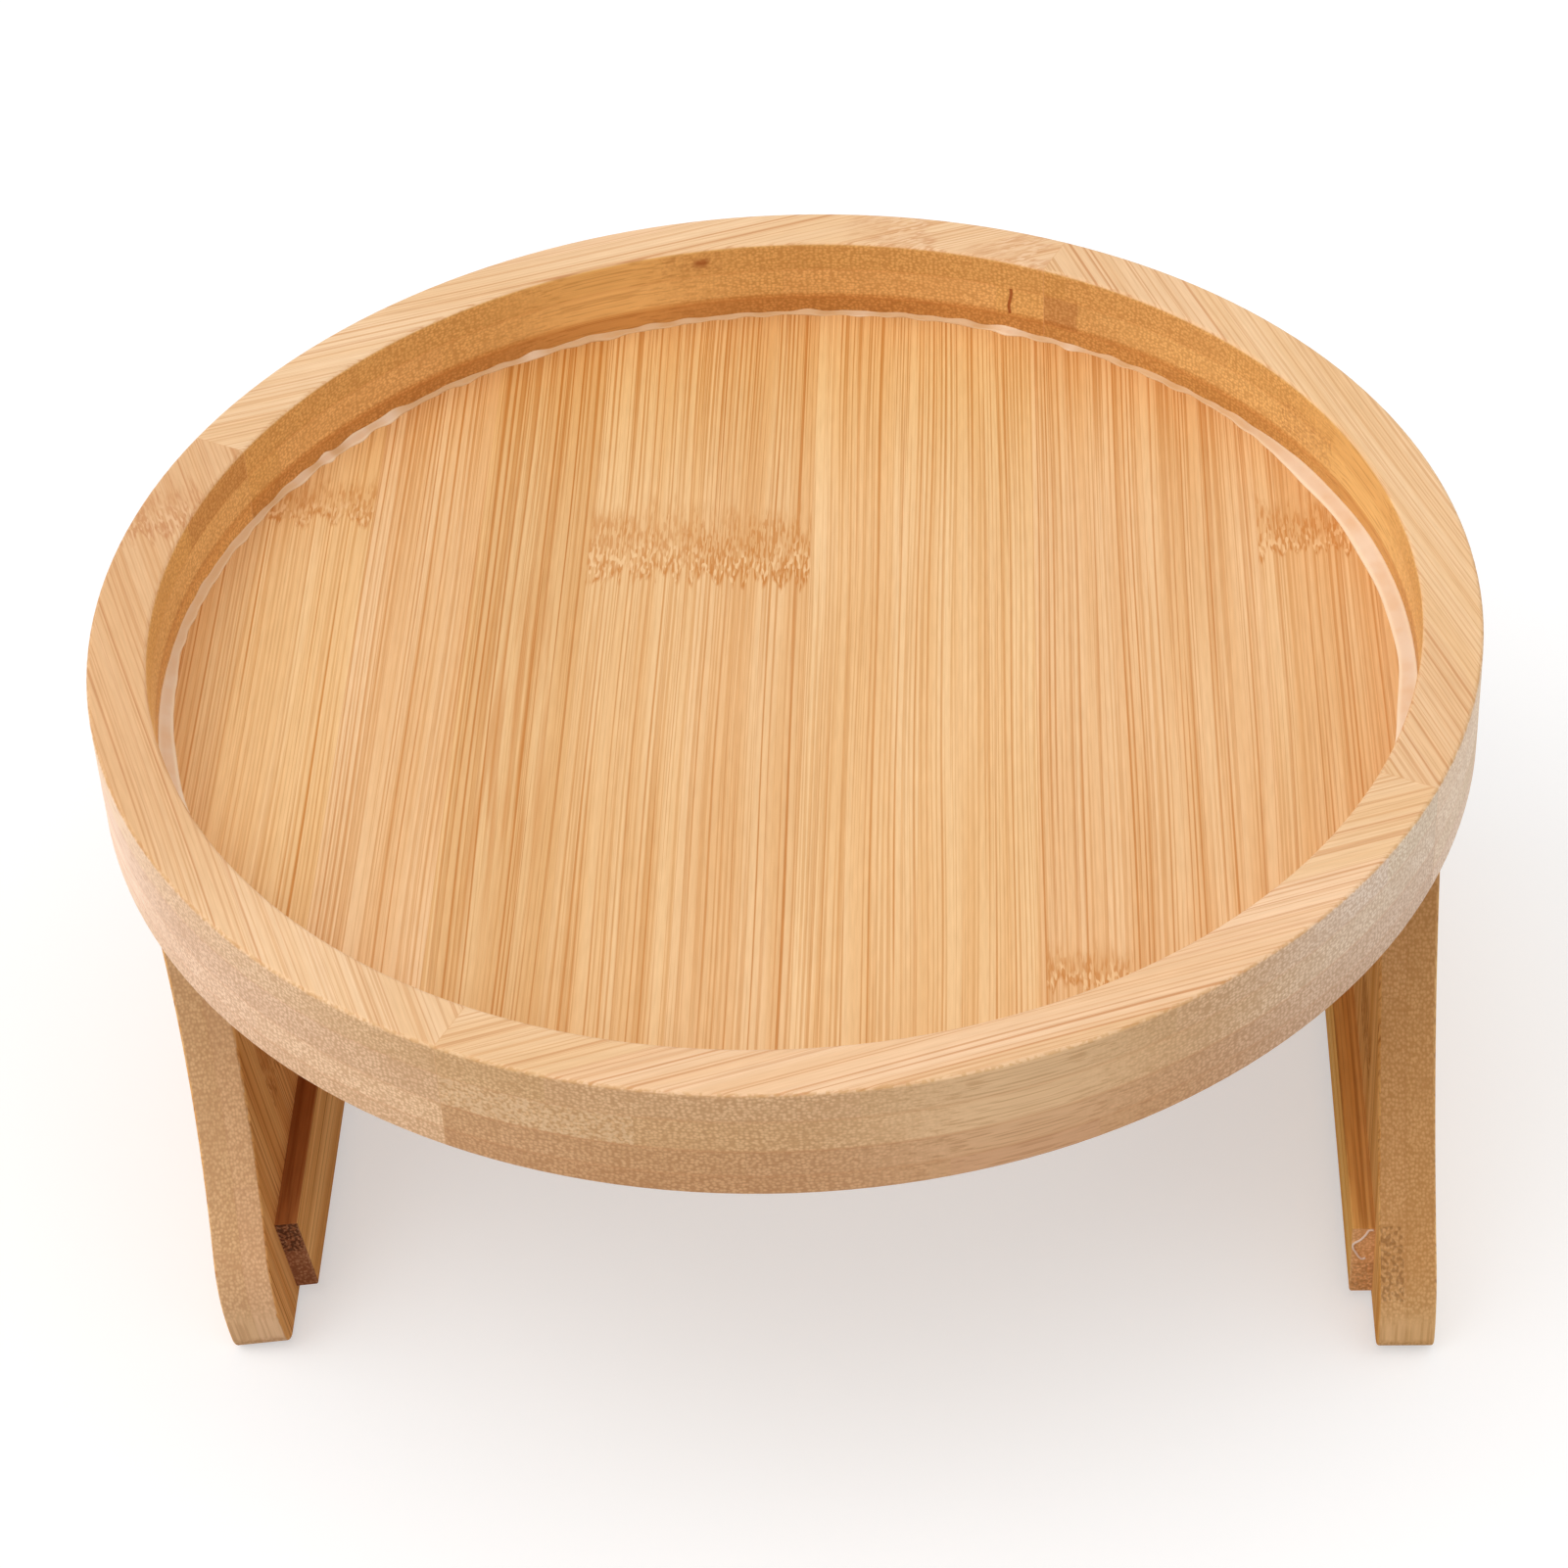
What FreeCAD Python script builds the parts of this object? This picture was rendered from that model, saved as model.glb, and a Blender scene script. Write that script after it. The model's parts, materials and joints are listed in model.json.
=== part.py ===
import FreeCAD, Part
import math
import os
import Sketcher

# Sofa arm tray in bamboo: a shallow round tray on two hinged wings that straddle a sofa arm.
# Millimetres, +Z up. The origin is on the floor below the middle of the tray. X runs from the
# left wing to the right wing and Y runs along the hinge pins, away from the viewer.

SIZES = [
    ("tray_diameter", 250, "outside of the rim"),
    ("rim_wall", 10.8, "rim, outside to inside"),
    ("rim_height", 23, "rim, bottom to top"),
    ("rim_edge_round", 0.8, "sanded edges of the rim"),
    ("rim_seam_angle", -25, "first seam between rim segments, degrees from +X"),
    ("board_thickness", 6.3, "tray board"),
    ("board_lap", 4.5, "how far the board reaches under the rim"),
    ("board_gap", 0.2, "glue line around the board"),
    ("bead_width", 2.6, "dried glue along the rim, on the board"),
    ("bead_height", 1.8, "dried glue along the rim, on the wall"),
    ("wing_thickness", 10.3, "wing panel"),
    ("wing_length", 92, "wing, tray underside to foot"),
    ("wing_top_width", 69, "wing, at the tray"),
    ("wing_foot_width", 150.8, "wing, at its widest"),
    ("wing_side_height", 14.5, "straight side above the foot"),
    ("wing_flare_radius", 131, "hollow curve of the wing's sides"),
    ("wing_shoulder_round", 20, "where the hollow curve meets the straight side"),
    ("wing_foot_round", 4, "lower corners of the wing"),
    ("wing_edge_round", 0.5, "sanded edges of the wing"),
    ("wing_inset", 8.7, "tray edge to the wing's outer face"),
    ("wing_gap", 0.3, "tray underside to the top of an upright wing"),
    ("left_lean", 8, "inward lean of the left wing, degrees"),
    ("right_lean", 0, "inward lean of the right wing, degrees"),
    ("left_forward", 0, "left wing, from the middle towards the viewer"),
    ("right_forward", 2.5, "right wing, from the middle towards the viewer"),
    ("batten_length", 122.7, "batten along the wing's foot"),
    ("batten_height", 16.5, "batten, lower edge to upper edge"),
    ("batten_rise", 1.9, "wing's foot to the batten's lower edge"),
    ("batten_thickness", 4.2, "batten, out from the wing"),
    ("batten_edge_round", 0.4, "sanded edges of the batten"),
    ("hinge_length", 30, "hinge along its pin"),
    ("hinge_gap", 4, "between a wing's two hinges"),
    ("leaf_thickness", 1.2, "hinge leaf"),
    ("leaf_width", 14, "hinge leaf, from the pin's centre"),
    ("knuckle_diameter", 4.6, "rolled knuckles of the hinge"),
    ("knuckle_gap", 0.15, "between neighbouring knuckles"),
    ("swing_gap", 0.3, "knuckle to anything that turns past it"),
    ("pin_diameter", 2.2, "hinge pin"),
    ("pin_clearance", 0.03, "radial, pin in knuckle"),
    ("pin_head_diameter", 3.6, "riveted end of the pin"),
    ("pin_head_height", 0.6, "riveted end of the pin"),
    ("screw_diameter", 2.8, "screw shank"),
    ("screw_head_diameter", 5.2, "countersunk screw head"),
    ("screw_length", 6, "whole screw"),
    ("screw_tip_length", 2, "pointed end of the screw"),
    ("screw_spacing", 15, "between the two screws of a leaf"),
    ("screw_clearance", 0.05, "around a screw in its hole"),
    ("recess_length", 2.8, "cross recess in the screw head"),
    ("recess_width", 0.7, "cross recess in the screw head"),
    ("recess_depth", 0.7, "cross recess in the screw head"),
    ("cut_overrun", 1, "how far a cutting shape passes its face"),
]

# Names of repeated pieces. A side or an end is a direction along X or Y.
RIM_NAMES = ["rim_segment_right", "rim_segment_back", "rim_segment_left", "rim_segment_front"]
SIDES = {"left": -1, "right": 1}
ENDS = {"front": -1, "back": 1}
KNUCKLE_COUNT = 5

doc = FreeCAD.newDocument("sofa_arm_tray")
sheet = doc.addObject("Spreadsheet::Sheet", "sizes")
for row, (alias, number, note) in enumerate(SIZES, start=1):
    sheet.set(f"A{row}", note)
    sheet.set(f"B{row}", str(number))
    sheet.setAlias(f"B{row}", alias)
doc.recompute()

# Lengths that several pieces share, as expressions on the sheet.
TRAY_RADIUS = "sizes.tray_diameter / 2"
RIM_INSIDE = f"({TRAY_RADIUS} - sizes.rim_wall)"
LAP_RADIUS = f"({RIM_INSIDE} + sizes.board_lap)"
KNUCKLE_RADIUS = "sizes.knuckle_diameter / 2"
PIN_TO_WOOD = f"({KNUCKLE_RADIUS} + sizes.swing_gap)"
PIN_RADIUS = "sizes.pin_diameter / 2"
WING_TOP = f"({PIN_TO_WOOD} - sizes.wing_gap)"
WING_FOOT = f"({PIN_TO_WOOD} - sizes.wing_length)"
LEAF_FACE = f"({PIN_TO_WOOD} - sizes.leaf_thickness)"
HINGE_OFFSET = "(sizes.hinge_length + sizes.hinge_gap) / 2"
KNUCKLE_PITCH = f"(sizes.hinge_length / {KNUCKLE_COUNT})"
SCREW_RADIUS = "sizes.screw_diameter / 2"
SCREW_HOLE_RADIUS = f"({SCREW_RADIUS} + sizes.screw_clearance)"
SCREW_HEAD_RADIUS = "sizes.screw_head_diameter / 2"
SCREW_GRIP = "(sizes.screw_length - sizes.leaf_thickness)"
SHANK_LENGTH = f"({SCREW_GRIP} - sizes.screw_tip_length)"
SCREW_REACH = f"(({PIN_TO_WOOD} + sizes.leaf_width) / 2)"

ALONG_X = FreeCAD.Vector(1, 0, 0)
ALONG_Y = FreeCAD.Vector(0, 1, 0)
ALONG_Z = FreeCAD.Vector(0, 0, 1)
HALF_TURN = 180
FULL_TURN = 360

nodes = []


def value(expression):
    return float(sheet.evalExpression(expression))


def bind(thing, expressions):
    for path, expression in expressions.items():
        thing.setExpression(path, expression)
    return thing


def keep(thing, label, place=FreeCAD.Placement()):
    thing.Label = label
    thing.Placement = place
    nodes.append(thing)


# Solids made of primitives.
def block(name, low, high):
    box = doc.addObject("Part::Box", name)
    sizes = [f"({top}) - ({bottom})" for bottom, top in zip(low, high)]
    bind(box, dict(zip(("Length", "Width", "Height"), sizes)))
    return bind(box, {f"Placement.Base.{axis}": start for axis, start in zip("xyz", low)})


def rod(name, radius, length):
    cylinder = doc.addObject("Part::Cylinder", name)
    return bind(cylinder, {"Radius": radius, "Height": length})


def rod_along_y(name, radius, length, start):
    cylinder = rod(name, radius, length)
    cylinder.Placement.Rotation = FreeCAD.Rotation(ALONG_Z, ALONG_Y)
    return bind(cylinder, {"Placement.Base.y": start})


def taper(name, first_radius, last_radius, length):
    cone = doc.addObject("Part::Cone", name)
    return bind(cone, {"Radius1": first_radius, "Radius2": last_radius, "Height": length})


def join(name, pieces):
    union = doc.addObject("Part::MultiFuse", name)
    union.Shapes = pieces
    union.Refine = True
    return union


def cut(name, base, tools):
    result = doc.addObject("Part::Cut", name)
    result.Base = base
    result.Tool = join(f"{name}_cuts", tools)
    return result


# Solids drawn as a closed outline. Corners run anticlockwise and each is fixed by its two
# expressions. The edge that leaves a corner named in hollows is an arc that curves inward.
def pin_corner(sketch, geometry, end, corner):
    for kind, expression, axis in zip(("DistanceX", "DistanceY"), corner, (-2, -1)):
        number = value(expression)
        if number == 0:
            sketch.addConstraint(Sketcher.Constraint("PointOnObject", geometry, end, axis))
            continue
        points = (-1, 1, geometry, end) if number > 0 else (geometry, end, -1, 1)
        index = sketch.addConstraint(Sketcher.Constraint(kind, *points, abs(number)))
        sketch.setExpression(f"Constraints[{index}]", expression if number > 0 else f"-({expression})")


def hollow_arc(start, end, radius):
    chord = end - start
    middle = (start + end) / 2
    outward = FreeCAD.Vector(chord.y, -chord.x, 0).normalize()
    centre = middle + outward * math.sqrt(radius ** 2 - (chord.Length / 2) ** 2)
    first, last = [math.atan2(spot.y - centre.y, spot.x - centre.x) for spot in (end, start)]
    return Part.ArcOfCircle(Part.Circle(centre, ALONG_Z, radius), first, last)


def outline(body, role, corners, hollows=None, offset=None):
    sketch = body.newObject("Sketcher::SketchObject", f"{body.Name}_outline")
    plane = next(feature for feature in body.Origin.OriginFeatures if feature.Role == role)
    sketch.AttachmentSupport = [(plane, "")]
    sketch.MapMode = "FlatFace"
    if offset:
        sketch.setExpression("AttachmentOffset.Base.z", offset)
    spots = [FreeCAD.Vector(value(across), value(up), 0) for across, up in corners]
    edges = []
    for index, start in enumerate(spots):
        end = spots[(index + 1) % len(spots)]
        if hollows and index in hollows:
            arc = sketch.addGeometry(hollow_arc(start, end, value(hollows[index])))
            radius = sketch.addConstraint(Sketcher.Constraint("Radius", arc, value(hollows[index])))
            sketch.setExpression(f"Constraints[{radius}]", hollows[index])
            edges.append((arc, 2, 1))
        else:
            edges.append((sketch.addGeometry(Part.LineSegment(start, end)), 1, 2))
    for index, (geometry, first, _) in enumerate(edges):
        before, _, last = edges[index - 1]
        sketch.addConstraint(Sketcher.Constraint("Coincident", before, last, geometry, first))
        pin_corner(sketch, geometry, first, corners[index])
    return sketch


def turned(name, corners, angle):
    body = doc.addObject("PartDesign::Body", name)
    ring = body.newObject("PartDesign::Revolution", f"{name}_ring")
    ring.Profile = outline(body, "XZ_Plane", corners)
    ring.ReferenceAxis = (ring.Profile[0], ["V_Axis"])
    ring.Angle = angle
    return body, ring


def panel(name, corners, thickness, face, inward=False, hollows=None):
    body = doc.addObject("PartDesign::Body", name)
    pad = body.newObject("PartDesign::Pad", f"{name}_pad")
    pad.Profile = outline(body, "YZ_Plane", corners, hollows, face)
    pad.Reversed = inward
    bind(pad, {"Length": thickness})
    return body, pad


def soften(body, feature, radius, chosen):
    doc.recompute()
    names = [f"Edge{index}" for index, edge in enumerate(feature.Shape.Edges, start=1) if chosen(edge)]
    fillet = body.newObject("PartDesign::Fillet", f"{body.Name}_round")
    fillet.Base = (feature, names)
    bind(fillet, {"Radius": radius})
    return fillet


def near(first, second):
    return abs(first - second) < value("sizes.pin_clearance")


# Places. A wing's own frame has its origin on the pin, X outward and Z up. A leaf's frame has
# the pin along Y, the leaf reaching towards -X and the wood above it.
PIN_X = value(f"{TRAY_RADIUS} - sizes.wing_inset - sizes.wing_thickness - {PIN_TO_WOOD}")
LEANS = {side: value(f"sizes.{side}_lean") for side in SIDES}


# How far a leaning wing reaches below its pin: down to the rounded outer edge of its foot.
def wing_drop(lean):
    out = value(f"{PIN_TO_WOOD} + sizes.wing_thickness - sizes.wing_edge_round")
    down = value(f"-{WING_FOOT} - sizes.wing_edge_round")
    angle = math.radians(lean)
    return out * math.sin(angle) + down * math.cos(angle) + value("sizes.wing_edge_round")


PIN_Z = max(wing_drop(lean) for lean in LEANS.values())
UNDERSIDE = PIN_Z + value(PIN_TO_WOOD)
TRAY_PLACE = FreeCAD.Placement(FreeCAD.Vector(0, 0, UNDERSIDE), FreeCAD.Rotation())


def lift(height):
    return FreeCAD.Placement(FreeCAD.Vector(0, 0, value(height)), FreeCAD.Rotation())


def side_place(side):
    facing = FreeCAD.Rotation(ALONG_Z, 0 if SIDES[side] > 0 else HALF_TURN)
    forward = value(f"sizes.{side}_forward")
    return FreeCAD.Placement(FreeCAD.Vector(SIDES[side] * PIN_X, -forward, PIN_Z), facing)


def wing_place(side):
    return side_place(side) * FreeCAD.Placement(FreeCAD.Vector(), FreeCAD.Rotation(ALONG_Y, LEANS[side]))


def hinge_shift(side, end):
    return FreeCAD.Vector(0, SIDES[side] * ENDS[end] * value(HINGE_OFFSET), 0)


def tray_leaf_place(side, end):
    return side_place(side) * FreeCAD.Placement(hinge_shift(side, end), FreeCAD.Rotation())


def wing_leaf_spot(side, end):
    return FreeCAD.Placement(hinge_shift(side, end), FreeCAD.Rotation(ALONG_X + ALONG_Z, HALF_TURN))


def screw_spots(leaf_place):
    for end in ENDS.values():
        across = end * value("sizes.screw_spacing / 2")
        spot = FreeCAD.Vector(-value(SCREW_REACH), across, value(PIN_TO_WOOD))
        yield leaf_place * FreeCAD.Placement(spot, FreeCAD.Rotation())


def screw_holes(name, leaf_places):
    spots = [spot for place in leaf_places for spot in screw_spots(place)]
    holes = []
    for spot in spots:
        hole = rod(name, SCREW_HOLE_RADIUS, f"{SCREW_GRIP} + sizes.screw_clearance + sizes.cut_overrun")
        hole.Placement = spot * lift("-sizes.cut_overrun")
        holes.append(hole)
    return holes


# Rim: four arcs butted end to end, with a step cut under the inside edge for the board.
def rim_segment(label, angle):
    corners = [
        (LAP_RADIUS, "0"),
        (TRAY_RADIUS, "0"),
        (TRAY_RADIUS, "sizes.rim_height"),
        (RIM_INSIDE, "sizes.rim_height"),
        (RIM_INSIDE, "sizes.board_thickness"),
        (LAP_RADIUS, "sizes.board_thickness"),
    ]
    body, ring = turned(label, corners, FULL_TURN / len(RIM_NAMES))

    def sanded(edge):
        if not isinstance(edge.Curve, Part.Circle):
            return False
        top = near(edge.BoundBox.ZMin, value("sizes.rim_height"))
        return top or near(edge.Curve.Radius, value(TRAY_RADIUS))

    soften(body, ring, "sizes.rim_edge_round", sanded)
    keep(body, label, TRAY_PLACE * FreeCAD.Placement(FreeCAD.Vector(), FreeCAD.Rotation(ALONG_Z, angle)))


for index, label in enumerate(RIM_NAMES):
    rim_segment(label, value("sizes.rim_seam_angle") + index * FULL_TURN / len(RIM_NAMES))

# Tray board: a disc let into the step, flush with the rim's underside, with blind screw holes.
disc = rod("board_disc", f"{LAP_RADIUS} - sizes.board_gap", "sizes.board_thickness")
leaf_places = [TRAY_PLACE.inverse() * tray_leaf_place(side, end) for side in SIDES for end in ENDS]
keep(cut("tray_board", disc, screw_holes("board_hole", leaf_places)), "tray_board", TRAY_PLACE)

# Glue bead: squeezed out along the inside corner between board and rim.
bead_corners = [
    (f"{RIM_INSIDE} - sizes.bead_width", "sizes.board_thickness"),
    (RIM_INSIDE, "sizes.board_thickness"),
    (RIM_INSIDE, "sizes.board_thickness + sizes.bead_height"),
]
bead, _ = turned("glue_bead", bead_corners, FULL_TURN)
keep(bead, "glue_bead", TRAY_PLACE)


# Wings: flared panels. The batten is glued along the foot of the inner face.
def wing(side):
    half_top = "sizes.wing_top_width / 2"
    half_foot = "sizes.wing_foot_width / 2"
    side_top = f"{WING_FOOT} + sizes.wing_side_height"
    corners = [
        (f"-{half_foot}", WING_FOOT),
        (half_foot, WING_FOOT),
        (half_foot, side_top),
        (half_top, WING_TOP),
        (f"-{half_top}", WING_TOP),
        (f"-{half_foot}", side_top),
    ]
    hollows = {2: "sizes.wing_flare_radius", 4: "sizes.wing_flare_radius"}
    body, pad = panel(f"{side}_panel", corners, "sizes.wing_thickness", PIN_TO_WOOD, hollows=hollows)

    def crossing_at(edge, height):
        widest = near(abs(edge.CenterOfMass.y), value(half_foot))
        crossing = near(edge.Length, value("sizes.wing_thickness"))
        return widest and crossing and near(edge.CenterOfMass.z, value(height))

    shoulders = soften(body, pad, "sizes.wing_shoulder_round", lambda edge: crossing_at(edge, side_top))
    feet = soften(body, shoulders, "sizes.wing_foot_round", lambda edge: crossing_at(edge, WING_FOOT))
    soften(body, feet, "sizes.wing_edge_round", lambda edge: near(edge.BoundBox.XLength, 0))
    holes = screw_holes(f"{side}_wing_hole", [wing_leaf_spot(side, end) for end in ENDS])
    keep(cut(f"{side}_wing", body, holes), f"{side}_wing", wing_place(side))


def batten(side):
    half_length = "sizes.batten_length / 2"
    low = f"{WING_FOOT} + sizes.batten_rise"
    top = f"{low} + sizes.batten_height"
    corners = [
        (f"-{half_length}", low),
        (half_length, low),
        (half_length, top),
        (f"-{half_length}", top),
    ]
    body, pad = panel(f"{side}_batten", corners, "sizes.batten_thickness", PIN_TO_WOOD, inward=True)
    face = value(f"{PIN_TO_WOOD} - sizes.batten_thickness")
    soften(body, pad, "sizes.batten_edge_round", lambda edge: near(edge.BoundBox.XMax, face))
    keep(body, f"{side}_batten", wing_place(side))


for side in SIDES:
    wing(side)
    batten(side)


# Hinges: two leaves share a pin through their knuckles. The tray leaf has the odd knuckles,
# the wing leaf those between.
def knuckle_span(index):
    first = f"{KNUCKLE_PITCH} * {index} - sizes.hinge_length / 2"
    trim = "sizes.knuckle_gap / 2"
    low = f"{first} + {trim}" if index > 0 else first
    high = f"{first} + {KNUCKLE_PITCH}"
    return low, high if index == KNUCKLE_COUNT - 1 else f"{high} - {trim}"


def leaf(label, first_knuckle, place):
    half_length = "sizes.hinge_length / 2"
    plate = block("plate", ("-sizes.leaf_width", f"-{half_length}", LEAF_FACE),
                  (f"-{PIN_TO_WOOD}", half_length, PIN_TO_WOOD))
    pieces = [plate]
    for index in range(first_knuckle, KNUCKLE_COUNT, 2):
        low, high = knuckle_span(index)
        pieces.append(block("strap", (f"-{PIN_TO_WOOD}", low, LEAF_FACE), ("0", high, PIN_TO_WOOD)))
        pieces.append(rod_along_y("knuckle", KNUCKLE_RADIUS, f"({high}) - ({low})", low))
    bore_length = "sizes.hinge_length + 2 * sizes.cut_overrun"
    bore_start = f"-{half_length} - sizes.cut_overrun"
    tools = [rod_along_y("bore", f"{PIN_RADIUS} + sizes.pin_clearance", bore_length, bore_start)]
    for spot in screw_spots(FreeCAD.Placement()):
        mouth = f"{SCREW_HEAD_RADIUS} + sizes.screw_clearance"
        sink = taper("sink", mouth, SCREW_HOLE_RADIUS, "sizes.leaf_thickness")
        sink.Placement = spot * lift("-sizes.leaf_thickness")
        tools.append(sink)
    keep(cut(label, join(f"{label}_stock", pieces), tools), label, place)


def pin(label, place):
    length = "sizes.hinge_length"
    foot = f"-{length} / 2"
    shank = rod_along_y("pin_shank", PIN_RADIUS, length, foot)
    head_starts = (f"{foot} - sizes.pin_head_height", f"{length} / 2")
    head_sizes = ("sizes.pin_head_diameter / 2", "sizes.pin_head_height")
    heads = [rod_along_y("pin_head", *head_sizes, start) for start in head_starts]
    keep(join(label, [shank, *heads]), label, place)


for side in SIDES:
    for end in ENDS:
        leaf(f"{side}_{end}_tray_leaf", 0, tray_leaf_place(side, end))
        leaf(f"{side}_{end}_wing_leaf", 1, wing_place(side) * wing_leaf_spot(side, end))
        pin(f"{side}_{end}_hinge_pin", tray_leaf_place(side, end))

# Screws: one pattern, copied to every hole. Its axis is Z and its head ends at the wood.
head = taper("screw_head", SCREW_HEAD_RADIUS, SCREW_RADIUS, "sizes.leaf_thickness")
bind(head, {"Placement.Base.z": "-sizes.leaf_thickness"})
shank = rod("screw_shank", SCREW_RADIUS, SHANK_LENGTH)
tip = taper("screw_tip", SCREW_RADIUS, "0", "sizes.screw_tip_length")
bind(tip, {"Placement.Base.z": SHANK_LENGTH})
recess_floor = "-sizes.leaf_thickness + sizes.recess_depth"
recess_halves = ("sizes.recess_length / 2", "sizes.recess_width / 2")
recesses = []
for across, along in (recess_halves, recess_halves[::-1]):
    low = (f"-{across}", f"-{along}", "-sizes.leaf_thickness - sizes.cut_overrun")
    recesses.append(block("recess", low, (across, along, recess_floor)))
screw = cut("screw", join("screw_blank", [head, shank, tip]), recesses)
doc.recompute()


def screw_group(label, places):
    group = doc.addObject("Part::Feature", label)
    copies = []
    for place in places:
        for spot in screw_spots(place):
            copies.append(screw.Shape.copy())
            copies[-1].Placement = spot
    group.Shape = Part.makeCompound(copies)
    keep(group, label)


screw_group("tray_hinge_screws", [tray_leaf_place(side, end) for side in SIDES for end in ENDS])
for side in SIDES:
    screw_group(f"{side}_wing_hinge_screws", [wing_place(side) * wing_leaf_spot(side, end) for end in ENDS])

# Everything is checked before any file is written.
doc.recompute()
failed = [thing.Name for thing in doc.Objects if {"Invalid", "Error"} & set(thing.State)]
failed += [node.Label for node in nodes if node.Shape.isNull() or not node.Shape.isValid()]
if failed:
    raise RuntimeError(f"failed: {failed}")
os.makedirs("parts", exist_ok=True)
for node in nodes:
    node.Shape.exportStep(f"parts/{node.Label}.step")
    print(node.Label, len(node.Shape.Solids), round(node.Shape.Volume, 1), node.Shape.BoundBox)
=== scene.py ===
import bpy
import json
import math
import random
from collections import namedtuple
from mathutils import Matrix, Vector


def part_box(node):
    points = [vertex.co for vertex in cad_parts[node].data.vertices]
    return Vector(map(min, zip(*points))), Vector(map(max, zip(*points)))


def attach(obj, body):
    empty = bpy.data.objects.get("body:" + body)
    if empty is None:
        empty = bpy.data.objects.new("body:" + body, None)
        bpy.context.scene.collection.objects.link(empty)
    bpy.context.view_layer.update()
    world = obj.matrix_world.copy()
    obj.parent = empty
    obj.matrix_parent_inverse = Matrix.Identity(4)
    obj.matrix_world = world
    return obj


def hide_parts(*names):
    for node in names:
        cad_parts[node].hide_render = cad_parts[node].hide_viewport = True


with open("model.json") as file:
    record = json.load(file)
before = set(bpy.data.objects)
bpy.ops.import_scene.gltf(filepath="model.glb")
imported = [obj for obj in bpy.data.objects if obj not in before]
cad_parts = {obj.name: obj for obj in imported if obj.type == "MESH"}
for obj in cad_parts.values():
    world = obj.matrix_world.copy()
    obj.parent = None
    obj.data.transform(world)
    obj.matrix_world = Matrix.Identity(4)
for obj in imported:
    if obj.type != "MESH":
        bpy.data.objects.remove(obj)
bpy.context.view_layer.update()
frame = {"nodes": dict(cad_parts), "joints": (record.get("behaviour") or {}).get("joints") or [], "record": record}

# Tray board.
# A flat panel of bamboo strips glued edge to edge, with the fibres running front to back.
# It is let into the rim from below, sanded, and finished with one thin coat of matt varnish.
MM = 0.001
board_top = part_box("tray_board")[1].z
board_seed = 3
board_strip_start = 0.167
strip_width = 21

Grain = namedtuple("Grain", "along across origin")
Weave = namedtuple("Weave", "pale warm line deep end_pale end_dark streak share pitch")
Ply = namedtuple("Ply", "joint tint line")
CaneNode = namedtuple("CaneNode", "low high start stop floor strength")
Spot = namedtuple("Spot", "place along across deep flat fibre fine")


def shade(red, green, blue):
    """A colour given as it shows on a screen, from 0 to 255, in the linear values that shaders take."""
    parts = [level / 255 for level in (red, green, blue)]
    return (*[p / 12.92 if p <= 0.04045 else ((p + 0.055) / 1.055) ** 2.4 for p in parts], 1)


def add(tree, kind, given, result=0, **settings):
    """Adds a node, sets or links its inputs and returns one of its results."""
    node = tree.nodes.new("ShaderNode" + kind)
    for key, setting in settings.items():
        setattr(node, key, setting)
    for key, value in given.items():
        if isinstance(value, bpy.types.NodeSocket):
            tree.links.new(value, node.inputs[key])
        else:
            node.inputs[key].default_value = value
    return node.outputs[result]


def sums(tree, operation, *values):
    """One step of arithmetic."""
    return add(tree, "Math", dict(enumerate(values)), operation=operation)


def product(tree, *values):
    """All the values multiplied together."""
    total = values[0]
    for value in values[1:]:
        total = sums(tree, "MULTIPLY", total, value)
    return total


def distance(tree, value, middle):
    """How far the value lies from the middle, to either side."""
    return sums(tree, "ABSOLUTE", sums(tree, "SUBTRACT", value, middle))


def ease(tree, value, low, high, top=1.0):
    """Runs smoothly from 0 at low to top at high."""
    given = {"Value": value, "From Min": low, "From Max": high, "To Max": top}
    return add(tree, "MapRange", given, interpolation_type="SMOOTHSTEP")


def between(tree, value, low, high, soft):
    """1 from low to high, and 0 outside."""
    rising = ease(tree, value, low - soft, low + soft)
    falling = ease(tree, value, high + soft, high - soft)
    return product(tree, rising, falling)


def split(tree, vector):
    """The three parts of a vector."""
    node = tree.nodes.new("ShaderNodeSeparateXYZ")
    tree.links.new(vector, node.inputs[0])
    return tuple(node.outputs)


def faces(tree, direction):
    """How squarely the surface looks this way: 1 straight towards it, -1 straight away."""
    normal = tree.nodes.new("ShaderNodeTexCoord").outputs["Normal"]
    return add(tree, "VectorMath", {0: normal, 1: direction}, "Value", operation="DOT_PRODUCT")


def mix(tree, share, first, second, blend="MIX"):
    """Turns the first colour into the second by this share. A Mix node's colours are inputs 6 and 7."""
    return add(tree, "Mix", {0: share, 6: first, 7: second}, 2, data_type="RGBA", blend_type=blend)


def glaze(tree, share, colour, tone):
    """Multiplies the colour by the tone, as a thin stain does."""
    return mix(tree, share, colour, tone, "MULTIPLY")


def stretched(tree, spot, lengths):
    """The place measured in these lengths along the fibre, across it and through the ply."""
    scales = [1 / length for length in lengths]
    return add(tree, "VectorMath", {0: spot, 1: scales}, operation="MULTIPLY")


def cloud(tree, spot, lengths, detail=0.0):
    """Soft noise whose lumps have these lengths along the fibre, across it and through the ply."""
    given = {"Vector": stretched(tree, spot, lengths), "Scale": 1.0, "Detail": detail, "Roughness": 0.6}
    return add(tree, "TexNoise", given)


def swing(tree, noise, reach):
    """Noise from 0 to 1, spread to both sides of 0 by this reach."""
    return sums(tree, "MULTIPLY_ADD", noise, 2 * reach, -reach)


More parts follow.
